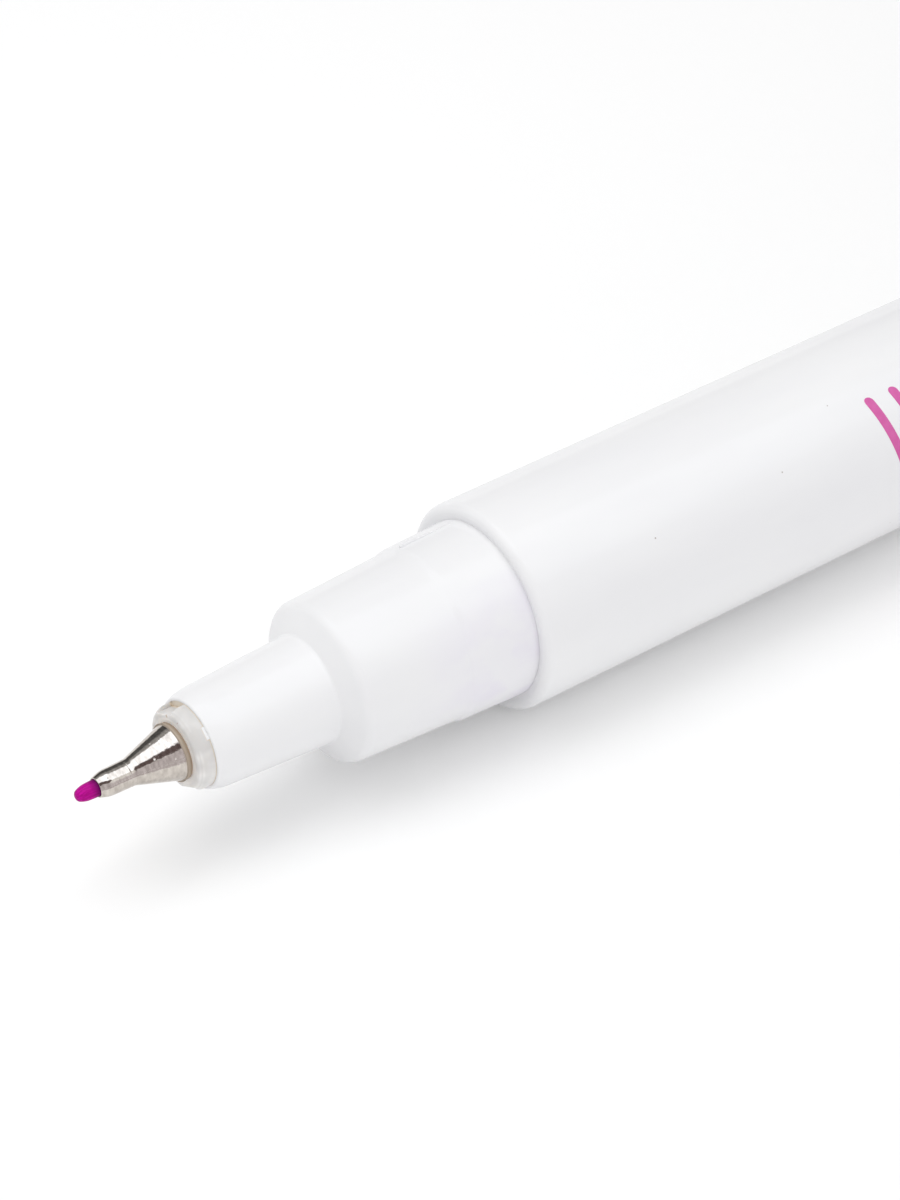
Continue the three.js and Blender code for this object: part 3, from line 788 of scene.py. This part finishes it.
def card(name, brightness, centre, size, tilt=0, spin=0, tint="#ffffff"):
    """A studio card that is seen only in reflections. It is tilted up, and then spun to its place."""
    bm = bmesh.new()
    place = Matrix.Translation(centre) @ Matrix.Rotation(radians(spin), 4, "Z")
    place @= Matrix.Rotation(radians(tilt), 4, "X")
    bmesh.ops.create_grid(bm, x_segments=1, y_segments=1, size=0.5,
                          matrix=studio @ place @ Matrix.Diagonal((*size, 1, 1)))
    made = finished(name, bm)
    paint = bpy.data.materials.new(name)
    paint.use_nodes = True
    shader = paint.node_tree.nodes["Principled BSDF"]
    shader.inputs["Base Color"].default_value = linear("#000000")
    shader.inputs["Specular IOR Level"].default_value = 0
    shader.inputs["Emission Color"].default_value = linear(tint)
    shader.inputs["Emission Strength"].default_value = brightness
    made.data.materials.append(paint)
    made.visible_camera = False
    made.visible_diffuse = False
    made.visible_shadow = False
    made.visible_transmission = False


# Cards. The softbox's white face shows in the metal as a long highlight. Beyond it the studio
# falls off to dark, a dark flag hangs between it and the camera, and a grey wall stands in front.
# They give the metal its dark edges. The last card lies on the table, along the pen.
card("softbox_face", 1.97, (0.09, -0.01, 0.297), (0.57, 0.276), spin=3, tint="#f3f8ff")
card("edge_card", 0.42, (0, 0.16, 0.3), (1.2, 0.15))
card("far_card", 0.3, (0, 0.27, 0.3), (1.2, 0.07))
card("back_flag", 0.11, (0, 0.305, 0.17), (1.2, 0.26), tilt=90)
card("camera_flag", 0.16, (-0.015, -0.258, 0.3), (0.6, 0.21), tint="#ffe2e3")
card("front_wall", 0.7, (0, -0.39, 0.15), (2.4, 0.3), tilt=90, tint="#fff9fe")
card("table_card", 0.7, (0.0826, -0.1068, -0.0048), (0.5, 0.23), spin=37.7, tint="#fff9fe")

# Camera. Above the tip, to its left and in front, close in with a long lens, as in the photo.
rise = radians(36.9)
camera_data = bpy.data.cameras.new("camera")
camera_data.sensor_width = 36
camera_data.lens = 111
camera_data.clip_start = 0.01
camera_data.clip_end = 20
camera = bpy.data.objects.new("camera", camera_data)
scene.collection.objects.link(camera)
scene.camera = camera
right = Vector((cos(turn), sin(turn), 0))
back = Vector((sin(turn) * cos(rise), -cos(turn) * cos(rise), sin(rise)))
up = back.cross(right)
aim = Vector((front + 0.2 * MM, axis_y, axis_z))
camera.location = aim + (-1.416 * right + 0.326 * up + 165.0 * back) * MM
camera.rotation_euler = Matrix((right, up, back)).transposed().to_euler()

scene.view_settings.view_transform = "Standard"
